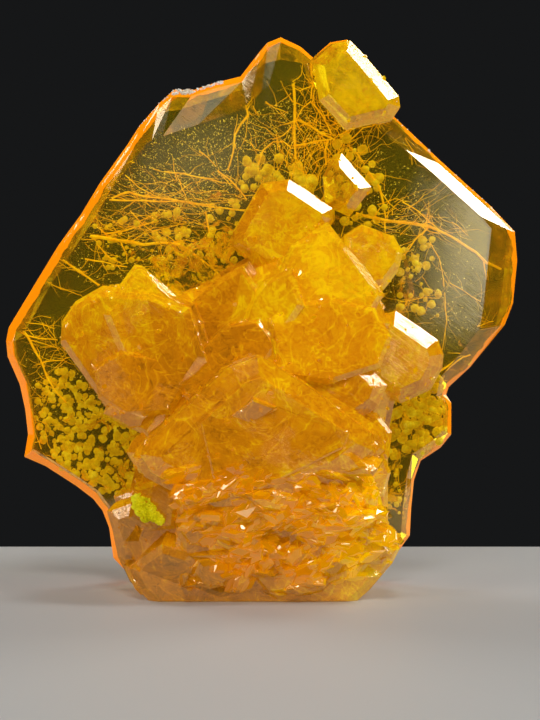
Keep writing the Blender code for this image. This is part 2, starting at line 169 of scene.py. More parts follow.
def newGroup(name, inputs, output):
    group = bpy.data.node_groups.new(name, "ShaderNodeTree")
    for label in inputs:
        group.interface.new_socket(label, in_out="INPUT", socket_type="NodeSocketFloat")
    group.interface.new_socket(output, in_out="OUTPUT", socket_type="NodeSocketFloat")
    return group, addNode(group, "NodeGroupInput").outputs, addNode(group, "NodeGroupOutput")


def useGroup(tree, group, **settings):
    node = tree.nodes.new("ShaderNodeGroup")
    node.node_tree = group
    setInputs(node, settings)
    return node.outputs[0]


noiseSpan = (0.3, 0.7)    # most of a noise lies between these values


# camera at the photo's viewing angle

cameraSet = {
    "aim": (0.6, 0.0, 17.2),  # mm, what the middle of the picture looks at
    "distance": 150.0,        # mm
    "elevation": 3.5,         # degrees
    "lens": 100.0,
    "sensor": 36.0,
}


def makeCamera(s):
    data = bpy.data.cameras.new("camera")
    camera = bpy.data.objects.new("camera", data)
    scene.collection.objects.link(camera)
    tilt = math.radians(s["elevation"])
    aim = Vector(s["aim"])
    away = Vector((0.0, -math.cos(tilt), math.sin(tilt))) * s["distance"]
    camera.location = (aim + away) * mm
    camera.rotation_euler = (math.radians(90.0) - tilt, 0.0, 0.0)
    data.lens = s["lens"]
    data.sensor_width = s["sensor"]
    data.clip_start = 0.005
    data.clip_end = 10.0
    scene.camera = camera


makeCamera(cameraSet)
print("camera placed")


# floor, surroundings and lights

floorSet = {
    "left": -170.0,
    "right": 170.0,
    "front": -50.0,
    "back": 20.0,
    "thickness": 8.0,
    "gap": 0.02,
    "colour": (0.56, 0.555, 0.545),
    "roughness": 0.55,
}

surroundingsSet = {"colour": (0.9, 0.95, 1.0), "strength": 0.009}


def makeFloor(s):
    material, tree, shader = newMaterial("pale floor")
    setInputs(shader, {"Base Color": rgba(s["colour"]), "Roughness": s["roughness"]})
    bm = bmesh.new()
    bmesh.ops.create_cube(bm, size=1.0)
    width = s["right"] - s["left"]
    depth = s["back"] - s["front"]
    bmesh.ops.scale(bm, vec=Vector((width, depth, s["thickness"])) * mm, verts=bm.verts)
    middle = Vector((
        (s["right"] + s["left"]) / 2, (s["back"] + s["front"]) / 2, -s["thickness"] / 2 - s["gap"]))
    bmesh.ops.translate(bm, vec=middle * mm, verts=bm.verts)
    floor = fromBmesh("floor", bm, material)


def makeSurroundings(s):
    world = bpy.data.worlds.new("surroundings")
    world.use_nodes = True
    setInputs(world.node_tree.nodes["Background"], {"Color": rgba(s["colour"]), "Strength": s["strength"]})
    scene.world = world


warmWhite = (1.0, 0.975, 0.93)
coolWhite = (0.94, 0.975, 1.0)

lightSet = {
    # direction from the crystal, distance mm, width mm, height mm, turn in degrees, radiance, colour,
    # and how far from its left, right, lower and upper edges the lamp is dimmer, as a share
    "key upper right": ((0.642, -0.228, 0.735), 420, 74, 140, 12, 18.0, coolWhite, (0.16, 0.02, 0.02, 0.02)),
    "front fill": ((0.15, -0.98, 0.005), 400, 46, 52, 0, 2.2, warmWhite, (0.45, 0.02, 0.35, 0.02)),
    "front sheen": ((-0.05, -1.0, 0.07), 400, 50, 36, 0, 0.4, warmWhite, (0.4, 0.4, 0.4, 0.4)),
    "upper sheen": ((-0.19, -0.81, 0.555), 400, 90, 60, 0, 1.1, coolWhite, (0.35, 0.35, 0.35, 0.35)),
    "right sheen": ((0.45, -0.88, 0.12), 400, 84, 84, 0, 1.1, warmWhite, (0.3, 0.3, 0.3, 0.3)),
    "left sheen": ((-0.40, -0.91, 0.08), 400, 64, 64, 0, 1.1, warmWhite, (0.3, 0.3, 0.3, 0.3)),
    "top front": ((0.05, -0.62, 0.79), 400, 110, 110, 0, 11.0, warmWhite, None),
    "upper left": ((-0.66, -0.55, 0.51), 400, 110, 110, 0, 6.0, warmWhite, None),
    "back left": ((-0.72, 0.55, 0.42), 420, 180, 260, 0, 4.0, warmWhite, None),
    "back right": ((0.75, 0.52, 0.40), 420, 180, 260, 0, 4.0, warmWhite, None),
}


def softenLamp(data, softness):
    # the lamp's own surface is dimmer toward its edges
    data.use_nodes = True
    tree = data.node_tree
    place = addNode(tree, "ShaderNodeNewGeometry").outputs["Parametric"]
    across = separated(tree, place, "X")
    up = separated(tree, place, "Y")
    left, right, lower, upper = softness
    sides = [(across, 0.0, left), (across, 1.0, 1.0 - right), (up, 0.0, lower), (up, 1.0, 1.0 - upper)]
    strength = 1.0
    for way, start, end in sides:
        strength = maths(tree, "MULTIPLY", strength, mapRange(tree, way, start, end, smooth=True))
    join(tree, strength, tree.nodes["Emission"], "Strength")


def makeLights(lights, target):
    for name, (direction, distance, width, height, turn, radiance, colour, softness) in lights.items():
        data = bpy.data.lights.new(name, "AREA")
        data.shape = "RECTANGLE"
        data.size = width * mm
        data.size_y = height * mm
        data.color = colour
        data.energy = radiance * math.pi * data.size * data.size_y
        if softness:
            softenLamp(data, softness)
        lamp = bpy.data.objects.new(name, data)
        scene.collection.objects.link(lamp)
        away = Vector(direction).normalized()
        lamp.location = (Vector(target) + away * distance) * mm
        facing = away.to_track_quat("Z", "Y").to_matrix() @ Matrix.Rotation(math.radians(turn), 3, "Z")
        lamp.rotation_euler = facing.to_euler()
        lamp.visible_camera = False


makeFloor(floorSet)
makeSurroundings(surroundingsSet)
makeLights(lightSet, (0.0, 0.0, 18.0))
scene.view_settings.view_transform = "Standard"
scene.cycles.use_denoising = True
print("floor and lights placed")


# fine ripples that grew on every face, used by more than one material

def makeGrowthLines():
    group, entry, out = newGroup("growth lines", ["Turn", "Fineness"], "Height")
    place = ownPlace(group)
    rotate = addNode(group, "ShaderNodeVectorRotate", rotation_type="Y_AXIS")
    join(group, place, rotate, "Vector")
    join(group, entry["Turn"], rotate, "Angle")
    stretch = (1.0, 3.0, 9.0)    # the lines lie along the first axis
    long = maths(group, "MULTIPLY", rotate.outputs["Vector"], stretch, kind="ShaderNodeVectorMath")
    lines = noiseTexture(group, long, Detail=5.0, Roughness=0.62, Distortion=0.25)
    join(group, entry["Fineness"], lines.node, "Scale")
    patches = noiseTexture(group, place, Scale=260.0, Detail=2.0)
    calm = mapRange(group, patches, 0.42, 0.62, 0.25, 1.0, smooth=True)
    join(group, maths(group, "MULTIPLY", lines, calm), out, "Height")
    return group


def addGrowthLines(tree, turn, fineness):
    return useGroup(tree, growthLines, Turn=math.radians(turn), Fineness=fineness)


growthLines = makeGrowthLines()


# thin wandering veins, where a soft noise crosses its middle value

def makeVeins():
    group, entry, out = newGroup("veins", ["Scale", "Width"], "Mask")
    wander = noiseTexture(group, ownPlace(group), Detail=3.0, Roughness=0.55, Distortion=1.4)
    join(group, entry["Scale"], wander.node, "Scale")
    gap = maths(group, "ABSOLUTE", maths(group, "SUBTRACT", wander, 0.5))
    share = maths(group, "SUBTRACT", 1.0, maths(group, "DIVIDE", gap, entry["Width"]))
    join(group, maths(group, "MAXIMUM", share, 0.0), out, "Mask")
    return group


veins = makeVeins()


# clear crystal: the outer surface of everything that grew together

glassSet = {
    "ior": 2.1,
    "roughness": 0.03,
    "shine": (1.0, 0.9, 0.68),     # reflections are slightly warm
    "absorptionColour": (0.86, 0.82, 0.01),
    "absorptionDensity": 560.0,
    "clear": 0.88,                 # the rest is fine haze
    "haze": (0.86, 0.76, 0.03),
    "turn": -36.0,                 # degrees, how the growth lines run
    "fineness": 560.0,
    "ripple": (0.005, 0.026),      # mm, on the plate and on the cluster
    "rippleEdge": (-0.1, -0.3),    # mm, it changes from one to the other between these depths
    "crumb": 0.012,                # mm, roughness of the plate's broken edge
    "crumbReach": (0.12, 0.34),    # mm from the outline, where it is full and where it ends
}


def makeGlass(s):
    material, tree, shader = newMaterial("clear wulfenite")
    setInputs(shader, {
        "Base Color": rgba(s["haze"]),
        "Roughness": s["roughness"],
        "IOR": s["ior"],
        "Transmission Weight": s["clear"],
        "Specular Tint": rgba(s["shine"]),
    })
    # height of the ripples, stronger on the cluster than on the plate
    place = ownPlace(tree)
    depth = separated(tree, place, "Y")
    low, high = s["ripple"]
    start, end = s["rippleEdge"]
    height = mapRange(tree, depth, end * mm, start * mm, high * mm, low * mm)
    ripple = maths(tree, "MULTIPLY", addGrowthLines(tree, s["turn"], s["fineness"]), height)
    # crumbs where the outline is close
    near, far = s["crumbReach"]
    distance = attribute(tree, "edgeDistance")
    size = mapRange(tree, distance, near, far, s["crumb"] * mm, 0.0, smooth=True)
    crumbs = maths(tree, "MULTIPLY", size, noiseTexture(tree, place, Scale=2600.0, Detail=4.0))
    bumpNormal(tree, shader, maths(tree, "ADD", ripple, crumbs), 1.0, 1.0)
    absorb = addNode(tree, "ShaderNodeVolumeAbsorption")
    setInputs(absorb, {"Color": rgba(s["absorptionColour"]), "Density": s["absorptionDensity"]})
    join(tree, absorb.outputs["Volume"], tree.nodes["Material Output"], "Volume")
    return material


def plateSlice(depth):
    # the plate's outline at one depth, as one face
    bm = mergedBmesh("wulfenite_crystals")
    everything = bm.verts[:] + bm.edges[:] + bm.faces[:]
    cut = bmesh.ops.bisect_plane(
        bm, geom=everything, dist=1e-7, plane_co=(0.0, depth * mm, 0.0), plane_no=(0.0, 1.0, 0.0),
        clear_outer=True, clear_inner=True)["geom_cut"]
    edges = [item for item in cut if isinstance(item, bmesh.types.BMEdge)]
    faces = bmesh.ops.edgenet_fill(bm, edges=edges)["faces"]
    face = max(faces, key=lambda item: item.calc_area())
    bmesh.ops.delete(bm, geom=[item for item in bm.faces if item is not face], context="FACES")
    return bm, face


def plateOutline(depth, inset):
    bm, face = plateSlice(depth)
    if inset:
        bmesh.ops.inset_region(bm, faces=[face], thickness=inset * mm, use_even_offset=True)
    outline = [(vert.co.x / mm, vert.co.z / mm) for vert in face.verts]
    bm.free()
    return outline


def distanceTo(outline, x, z):
    spot = Vector((x, z))
    nearest = 100.0
    for first, second in zip(outline, outline[1:] + outline[:1]):
        start = Vector(first)
        side = Vector(second) - start
        share = min(max((spot - start).dot(side) / max(side.length_squared, 1e-9), 0.0), 1.0)
        nearest = min(nearest, (spot - start - side * share).length)
    return nearest


edgeSet = {
    "flat": 0.97,       # a face that looks more than this along Y is no bevel
    "front": -0.05,     # mm, the plate lies behind this depth
    "foot": 0.5,        # mm, there is no rim below this height
    "none": 5.0,        # mm, stored where there is no rim
}


def storeEdgeDistance(mesh, outline, s):
    # mm from the plate's outline, on the plate's bevels alone
    distances = mesh.attributes.new("edgeDistance", "FLOAT", "CORNER")
    for polygon in mesh.polygons:
        onBevel = abs(polygon.normal.y) < s["flat"]
        for index in polygon.loop_indices:
            x, y, z = mesh.vertices[mesh.loops[index].vertex_index].co / mm
            near = outline and onBevel and y > s["front"] and z > s["foot"]
            distances.data[index].value = distanceTo(outline, x, z) if near else s["none"]


def makeSkin(material):
    skin = fromBmesh("crystal_skin", mergedBmesh("wulfenite_crystals"), material)
    storeEdgeDistance(skin.data, silhouette, edgeSet)
    skin.visible_shadow = False
    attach(skin, "root")
    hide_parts("wulfenite_crystals")


silhouette = plateOutline(1.0, 0.0)
makeSkin(makeGlass(glassSet))
print("clear skin made")


# cloud in the crystals: one veil just below the clear faces, and a denser heart deeper down

cloudSet = {
    "veilDepth": 0.06,              # mm below the clear surface
    "sharpest": 2.0,                # a sharp corner moves in by at most this many times that
    "heartDepth": 0.55,
    "voxel": 0.28,
    "behind": -0.35,                # mm, the heart stays in front of this depth
    "lumps": (0.9, 0.16),           # how close they lie per mm, and their height in mm
    "colours": [
        (0.0, (0.30, 0.09, 0.0)),
        (0.25, (0.54, 0.19, 0.0)),
        (0.5, (0.68, 0.28, 0.0)),
        (0.75, (0.76, 0.42, 0.0)),
        (1.0, (0.86, 0.62, 0.0)),
    ],
    # painted glow: the orange of the band along the plate's outline, for light led inside the plate to its
    # edges
    "rim": (0.90, 0.33, 0.0),
    "rimGlow": 0.5,                 # painted glow of the rim, stronger than elsewhere, so the rim stays bright in shaded places
    "rimLeft": (-4.0, 0.62),        # mm, a place in x and the rim's width there
    "rimRight": (5.0, 0.30),
    "rimWaver": 0.12,
    "rimBlur": 0.05,
    # painted glow: the cloud gives off its own colour at this strength, for light passing through the
    # crystal
    "paintedGlow": 0.30,
    # how closed the veil is on the cluster, and on the crystals that stay clearer: x, z, reach, cover
    "cover": 0.78,
    "coverWeight": 0.15,
    "unevenCover": 0.18,
    "clearer": [
        (6.9, 37.4, 4.2, 0.55), (6.2, 30.6, 2.2, 0.5), (8.4, 25.2, 2.4, 0.66), (-11.6, 21.4, 3.4, 0.74),
        (-8.4, 22.6, 2.4, 0.7), (10.6, 16.6, 2.6, 0.72), (9.6, 11.0, 2.0, 0.7),
    ],
    "noHeart": 0.6,                 # a crystal with less cover than this has no heart
    "heartGap": 0.4,                # mm, nor has the cluster this close around it
    "bevelCover": 0.40,             # the plate's front bevels look slightly orange
    "bevelTone": 0.36,
    "bevelFlat": 0.965,
    "plateFront": -0.06,
    # the veil thins out over the plate around this place, in mm
    "middle": (-0.4, 0.0, 14.5),
    "reach": (11.0, 60.0, 13.5),
    "fade": (0.55, 1.38, 0.66),     # shares of the reach where it starts and ends, and its most
    "ragged": 0.14,
    # tone from brown (0) over orange (0.5) to yellow (1): x, z, reach, tone
    "tones": [
        (-11.4, 21.7, 3.2, 0.85), (-8.4, 22.4, 2.5, 0.9), (0.0, 21.3, 1.8, 1.0), (0.2, 29.2, 2.2, 0.65),
        (2.1, 26.6, 2.5, 0.75), (5.1, 25.5, 3.0, 0.85), (9.5, 25.1, 2.0, 1.0), (-3.5, 19.1, 2.6, 0.3),
        (-1.7, 24.3, 2.0, 0.45), (-10.3, 16.4, 3.2, 0.42), (-6.9, 16.1, 2.5, 0.25), (-1.7, 16.4, 2.5, 0.5),
        (-1.7, 10.4, 2.4, 0.3), (5.1, 11.9, 2.5, 0.56), (6.2, 15.7, 2.0, 0.4), (9.6, 16.8, 2.5, 0.75),
        (-6.9, 11.2, 2.0, 0.5), (-6.1, 8.2, 2.0, 0.4), (-0.9, 3.7, 4.0, 0.4), (7.7, 3.3, 2.6, 0.85),
        (-9.5, 4.1, 2.0, 0.15), (-7.3, 1.8, 1.6, 0.25), (-2.4, -0.2, 3.0, 0.15), (8.1, 7.5, 2.0, 0.8),
        (5.1, 6.3, 2.4, 0.5), (6.9, 37.4, 4.0, 1.0),
    ],
    "usualTone": 0.5,
    "toneWeight": 0.3,
    "toneJitter": 0.28,
    "stir": 0.21,
    "bump": (240.0, 0.5, 0.12),     # fineness, strength, and height in mm
    # thin bright or dark veins in the cloud: scale, width as a share, change of tone
    "veins": [(330.0, 0.022, 0.34), (760.0, 0.035, 0.2), (520.0, 0.02, -0.24)],
}


def blended(spots, x, z, usual, weight):
    total = weight
    value = usual * weight
    for spotX, spotZ, reach, amount in spots:
        pull = math.exp(-((x - spotX) ** 2 + (z - spotZ) ** 2) / reach ** 2)
        total += pull
        value += pull * amount
    return value / total


def storeTones(mesh, s):
    # one tone and one cover for each crystal face, so neighbouring faces differ
    tone = mesh.attributes.new("tone", "FLOAT", "FACE")
    cover = mesh.attributes.new("cover", "FLOAT", "FACE")
    for polygon, toneValue, coverValue in zip(mesh.polygons, tone.data, cover.data):
        x, y, z = polygon.center / mm
        plane = polygon.normal * 2.6 + Vector((polygon.normal.dot(polygon.center) / mm * 0.6, 0.0, 0.0))
        jitter = noise.noise(plane) * s["toneJitter"]
        toneValue.value = blended(s["tones"], x, z, s["usualTone"], s["toneWeight"]) + jitter
        if y < s["plateFront"]:
            coverValue.value = blended(s["clearer"], x, z, s["cover"], s["coverWeight"])
        elif -s["bevelFlat"] < polygon.normal.y < 0.0:
            coverValue.value = s["bevelCover"]
            toneValue.value = s["bevelTone"]


def cloudCover(tree, place, s):
    # closed on the cluster, ragged and fading over the plate
    vector = "ShaderNodeVectorMath"
    offset = maths(tree, "SUBTRACT", place, Vector(s["middle"]) * mm, kind=vector)
    spread = maths(tree, "DIVIDE", offset, Vector(s["reach"]) * mm, kind=vector)
    length = addNode(tree, vector, operation="LENGTH")
    join(tree, spread, length, 0)
    start, end, most = s["fade"]
    fade = mapRange(tree, length.outputs["Value"], start, end, most, 0.0)
    wisp = noiseTexture(tree, place, Scale=640.0, Detail=8.0, Roughness=0.68, Distortion=0.7)
    less = maths(tree, "SUBTRACT", fade, mapRange(tree, wisp, 0.32, 0.68))
    ragged = mapRange(tree, less, -s["ragged"], s["ragged"], smooth=True)
    thin = mapRange(tree, wisp, *noiseSpan, -s["unevenCover"], s["unevenCover"])
    uneven = maths(tree, "ADD", attribute(tree, "cover"), thin)
    return maths(tree, "MAXIMUM", ragged, mapRange(tree, uneven, 0.15, 0.85, smooth=True))


def paintedRimMask(tree, place, s):
    # painted glow: an orange band along the plate's outline, standing in for light led inside the plate to
    # its edges, wide at the left and thin at the right
    (left, wide), (right, narrow) = s["rimLeft"], s["rimRight"]
    width = mapRange(tree, separated(tree, place, "X"), left * mm, right * mm, wide, narrow)
    wave = noiseTexture(tree, place, Scale=700.0, Detail=3.0)
    limit = maths(tree, "ADD", width, mapRange(tree, wave, *noiseSpan, -s["rimWaver"], s["rimWaver"]))
    gap = maths(tree, "SUBTRACT", limit, attribute(tree, "edgeDistance"))
    return mapRange(tree, gap, -s["rimBlur"], s["rimBlur"], smooth=True)


def makeCloudMaterial(s, name, inside):
    material, tree, shader = newMaterial(name)
    place = ownPlace(tree)
    # colour: the stored tone, stirred by soft streaks and crossed by veins
    streak = noiseTexture(tree, place, Scale=560.0, Detail=9.0, Roughness=0.72, Distortion=0.9)
    stir = mapRange(tree, streak, *noiseSpan, -s["stir"], s["stir"])
    stir.node.clamp = False
    tone = maths(tree, "ADD", attribute(tree, "tone"), stir)
    for scale, width, gain in s["veins"]:
        vein = useGroup(tree, veins, Scale=scale, Width=width)
        tone = maths(tree, "MULTIPLY_ADD", vein, gain, tone)
    body = colourRamp(tree, tone, s["colours"])
    # painted glow: the orange band along the outline, mixed over the body colour
    rim = paintedRimMask(tree, place, s)
    mix = addNode(tree, "ShaderNodeMix", data_type="RGBA")
    join(tree, rim, mix, 0)
    join(tree, body, mix, 6)    # 6 and 7 are the two colours, and output 2 is the mixed one
    mix.inputs[7].default_value = rgba(s["rim"])
    colour = mix.outputs[2]
    # painted glow: the colour is also given off as emission, more strongly on the rim
    paintedGlow = addNode(tree, "ShaderNodeVectorMath", operation="SCALE")
    join(tree, colour, paintedGlow, 0)
    join(tree, mapRange(tree, rim, 0.0, 1.0, s["paintedGlow"], s["rimGlow"]), paintedGlow, "Scale")
    join(tree, colour, shader, "Base Color")
    join(tree, paintedGlow.outputs["Vector"], shader, "Emission Color")
    if not inside:
        join(tree, maths(tree, "MAXIMUM", cloudCover(tree, place, s), rim), shader, "Alpha")
    fineness, strength, height = s["bump"]
    bumpNormal(tree, shader, addGrowthLines(tree, glassSet["turn"], fineness), strength, height * mm)
    setInputs(shader, {"Emission Strength": 1.0, "Roughness": 0.7, "Specular IOR Level": 0.1})
    return material


def makeVeil(s):
    bm = mergedBmesh("wulfenite_crystals")
    bm.normal_update()
    moves = []
    for vert in bm.verts:
        moves.append(vert.normal * -s["veilDepth"] * mm * min(vert.calc_shell_factor(), s["sharpest"]))
    for vert, move in zip(bm.verts, moves):
        vert.co += move
    veil = fromBmesh("cloud_veil", bm, makeCloudMaterial(s, "cloud veil", False))
    storeEdgeDistance(veil.data, silhouette, edgeSet)
    storeTones(veil.data, s)
    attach(veil, "root")


def halfSpace(bm, point, outward):
    # keeps what lies behind a plane, and closes the cut
    everything = bm.verts[:] + bm.edges[:] + bm.faces[:]
    bmesh.ops.bisect_plane(
        bm, geom=everything, dist=1e-7, plane_co=point, plane_no=outward, clear_outer=True)
    bmesh.ops.holes_fill(bm, edges=[edge for edge in bm.edges if edge.is_boundary])


def makeHeart(s):
    bm = mergedBmesh("wulfenite_crystals")
    halfSpace(bm, (0.0, s["behind"] * mm, 0.0), (0.0, 1.0, 0.0))
    heart = fromBmesh("cloud_heart", bm, makeCloudMaterial(s, "cloud heart", True))
    remesh = heart.modifiers.new("remesh", "REMESH")
    remesh.mode = "VOXEL"
    remesh.voxel_size = s["voxel"] * mm
    bakeModifiers(heart)
    bm = bmesh.new()
    bm.from_mesh(heart.data)
    bm.normal_update()
    moves = []
    closeness, height = s["lumps"]
    for vert in bm.verts:
        lump = noise.noise(vert.co / mm * closeness) * height
        moves.append(vert.normal * -(s["heartDepth"] + lump) * mm)
    for vert, move in zip(bm.verts, moves):
        vert.co += move
    bmesh.ops.smooth_vert(
        bm, verts=bm.verts, factor=0.5, use_axis_x=True, use_axis_y=True, use_axis_z=True)
    # the clear crystals at the outskirts have no heart
    for x, z, reach, cover in s["clearer"]:
        if cover < s["noHeart"]:
            clear = []
            for vert in bm.verts:
                if math.hypot(vert.co.x / mm - x, vert.co.z / mm - z) < reach + s["heartGap"]:
                    clear.append(vert)
            bmesh.ops.delete(bm, geom=clear, context="VERTS")
    bmesh.ops.holes_fill(bm, edges=[edge for edge in bm.edges if edge.is_boundary])
    bm.to_mesh(heart.data)
    bm.free()
    storeEdgeDistance(heart.data, [], edgeSet)
    storeTones(heart.data, s)
    smoothShaded(heart)
    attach(heart, "root")


makeVeil(cloudSet)
makeHeart(cloudSet)
print("clouds made")


# round yellow grains sealed in the plate

grainSet = {
    # outline in mm seen from the front, how many, smallest and largest radius in mm
    "fields": [
        ([(-16.8, 16.0), (-14.4, 16.6), (-12.4, 14.0), (-9.6, 12.4), (-9.1, 6.7), (-12.2, 7.2),
          (-15.4, 9.2), (-17.2, 12.2)],
         380, (0.13, 0.31)),
        ([(9.8, 25.5), (12.9, 26.5), (13.4, 20.5), (10.4, 20.5)], 40, (0.12, 0.36)),
        ([(8.4, 19.4), (11.2, 18.0), (13.4, 15.5), (13.7, 11.5), (12.5, 9.8), (8.9, 9.8), (7.8, 14.0)],
         260, (0.2, 0.45)),
        ([(-2.0, 32.2), (4.0, 32.4), (4.0, 29.8), (-1.5, 29.8)], 40, (0.2, 0.5)),
        ([(-8.6, 28.2), (-1.8, 29.2), (-1.4, 24.6), (-8.0, 24.6)], 66, (0.14, 0.34)),
        ([(5.4, 34.2), (8.6, 32.8), (9.4, 27.0), (5.4, 27.6)], 40, (0.16, 0.42)),
        ([(9.0, 9.6), (10.9, 9.0), (10.4, 4.6), (9.2, 4.8)], 20, (0.12, 0.26)),
        ([(-12.6, 27.2), (-8.6, 28.4), (-8.0, 25.0), (-12.0, 23.6)], 34, (0.1, 0.26)),
    ],
    "depths": (0.35, 1.6),
    "rounder": 0.2,             # mm, a larger grain starts from a rounder ball
    "fluff": 0.24,
    "seed": 3,
    "colours": [(0.32, (0.60, 0.34, 0.0)), (0.52, (0.84, 0.62, 0.02)), (0.7, (0.98, 0.88, 0.14))],
    # painted glow: how strongly the grains give off their own colour
    "paintedGlow": 0.26,
}


def insideOutline(point, outline):
    inside = False
    x, z = point
    for (x1, z1), (x2, z2) in zip(outline, outline[1:] + outline[:1]):
        if (z1 > z) != (z2 > z) and x < (x2 - x1) * (z - z1) / (z2 - z1) + x1:
            inside = not inside
    return inside


def spotsIn(outline, count, chance):
    xs = [corner[0] for corner in outline]
    zs = [corner[1] for corner in outline]
    spots = []
    while len(spots) < count:
        spot = (chance.uniform(min(xs), max(xs)), chance.uniform(min(zs), max(zs)))
        if insideOutline(spot, outline):
            spots.append(spot)
    return spots


def makeGrainMaterial(name, s):
    material, tree, shader = newMaterial(name)
    mottle = noiseTexture(tree, ownPlace(tree), Scale=1300.0, Detail=5.0, Roughness=0.7)
    colour = colourRamp(tree, mottle, s["colours"])
    join(tree, colour, shader, "Base Color")
    # painted glow: the colour is also given off as emission, so these pieces glow without a lamp
    join(tree, colour, shader, "Emission Color")
    bumpNormal(tree, shader, mottle, 0.8, 0.08 * mm)
    setInputs(shader, {"Emission Strength": s["paintedGlow"], "Roughness": 0.9, "Specular IOR Level": 0.1})
    return material


def addGrain(bm, place, radius, subdivisions, fluff):
    ball = bmesh.ops.create_icosphere(bm, subdivisions=subdivisions, radius=radius * mm)
    for vert in ball["verts"]:
        vert.co *= 1.0 + fluff * noise.noise(vert.co * 2.4 / (radius * mm) + Vector(place))
    bmesh.ops.translate(bm, verts=ball["verts"], vec=Vector(place) * mm)


def makeGrains(s, material):
    chance = random.Random(s["seed"])
    bm = bmesh.new()
    for outline, count, radii in s["fields"]:
        for x, z in spotsIn(outline, count, chance):
            radius = chance.uniform(*radii)
            rounds = 2 if radius > s["rounder"] else 1
            addGrain(bm, (x, chance.uniform(*s["depths"]), z), radius, rounds, s["fluff"])
    grains = smoothShaded(fromBmesh("yellow_grains", bm, material))
    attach(grains, "root")


makeGrains(grainSet, makeGrainMaterial("yellow grains", grainSet))
print("grains made")


# yellow-green crust of tiny grains on the cluster's lower left

crustSet = {
    # x, z and radius in mm of the tufts it is made of
    "tufts": [
        (-8.9, 7.6, 0.42), (-8.4, 7.3, 0.5), (-8.7, 6.8, 0.4), (-8.0, 6.9, 0.45), (-8.3, 6.4, 0.42),
        (-7.7, 6.4, 0.4), (-7.3, 6.1, 0.34), (-9.0, 7.1, 0.3),
    ],
    "front": -7.0,
    "height": 0.42,
    "grains": 620,
    "radii": (0.05, 0.12),
    "fluff": 0.4,
    "seed": 21,
    "colours": [(0.3, (0.46, 0.38, 0.0)), (0.5, (0.76, 0.68, 0.006)), (0.72, (0.95, 0.9, 0.06))],
    # painted glow: how strongly the crust gives off its own colour
    "paintedGlow": 0.25,
}


def makeCrust(s, material):
    chance = random.Random(s["seed"])
    bm = bmesh.new()
    for grain in range(s["grains"]):
        tuftX, tuftZ, reach = chance.choice(s["tufts"])
        angle = chance.uniform(0.0, math.tau)
        away = reach * math.sqrt(chance.random())
        lift = s["height"] * math.sqrt(1.0 - (away / reach) ** 2) * chance.uniform(0.5, 1.0)
        place = (tuftX + math.cos(angle) * away, s["front"] - lift, tuftZ + math.sin(angle) * away)
        addGrain(bm, place, chance.uniform(*s["radii"]), 1, s["fluff"])
    crust = smoothShaded(fromBmesh("green_crust", bm, material))
    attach(crust, "root")
    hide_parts("mimetite_crust")


makeCrust(crustSet, makeGrainMaterial("yellow-green crust", crustSet))
print("crust made")


# fine branching threads sealed in the plate

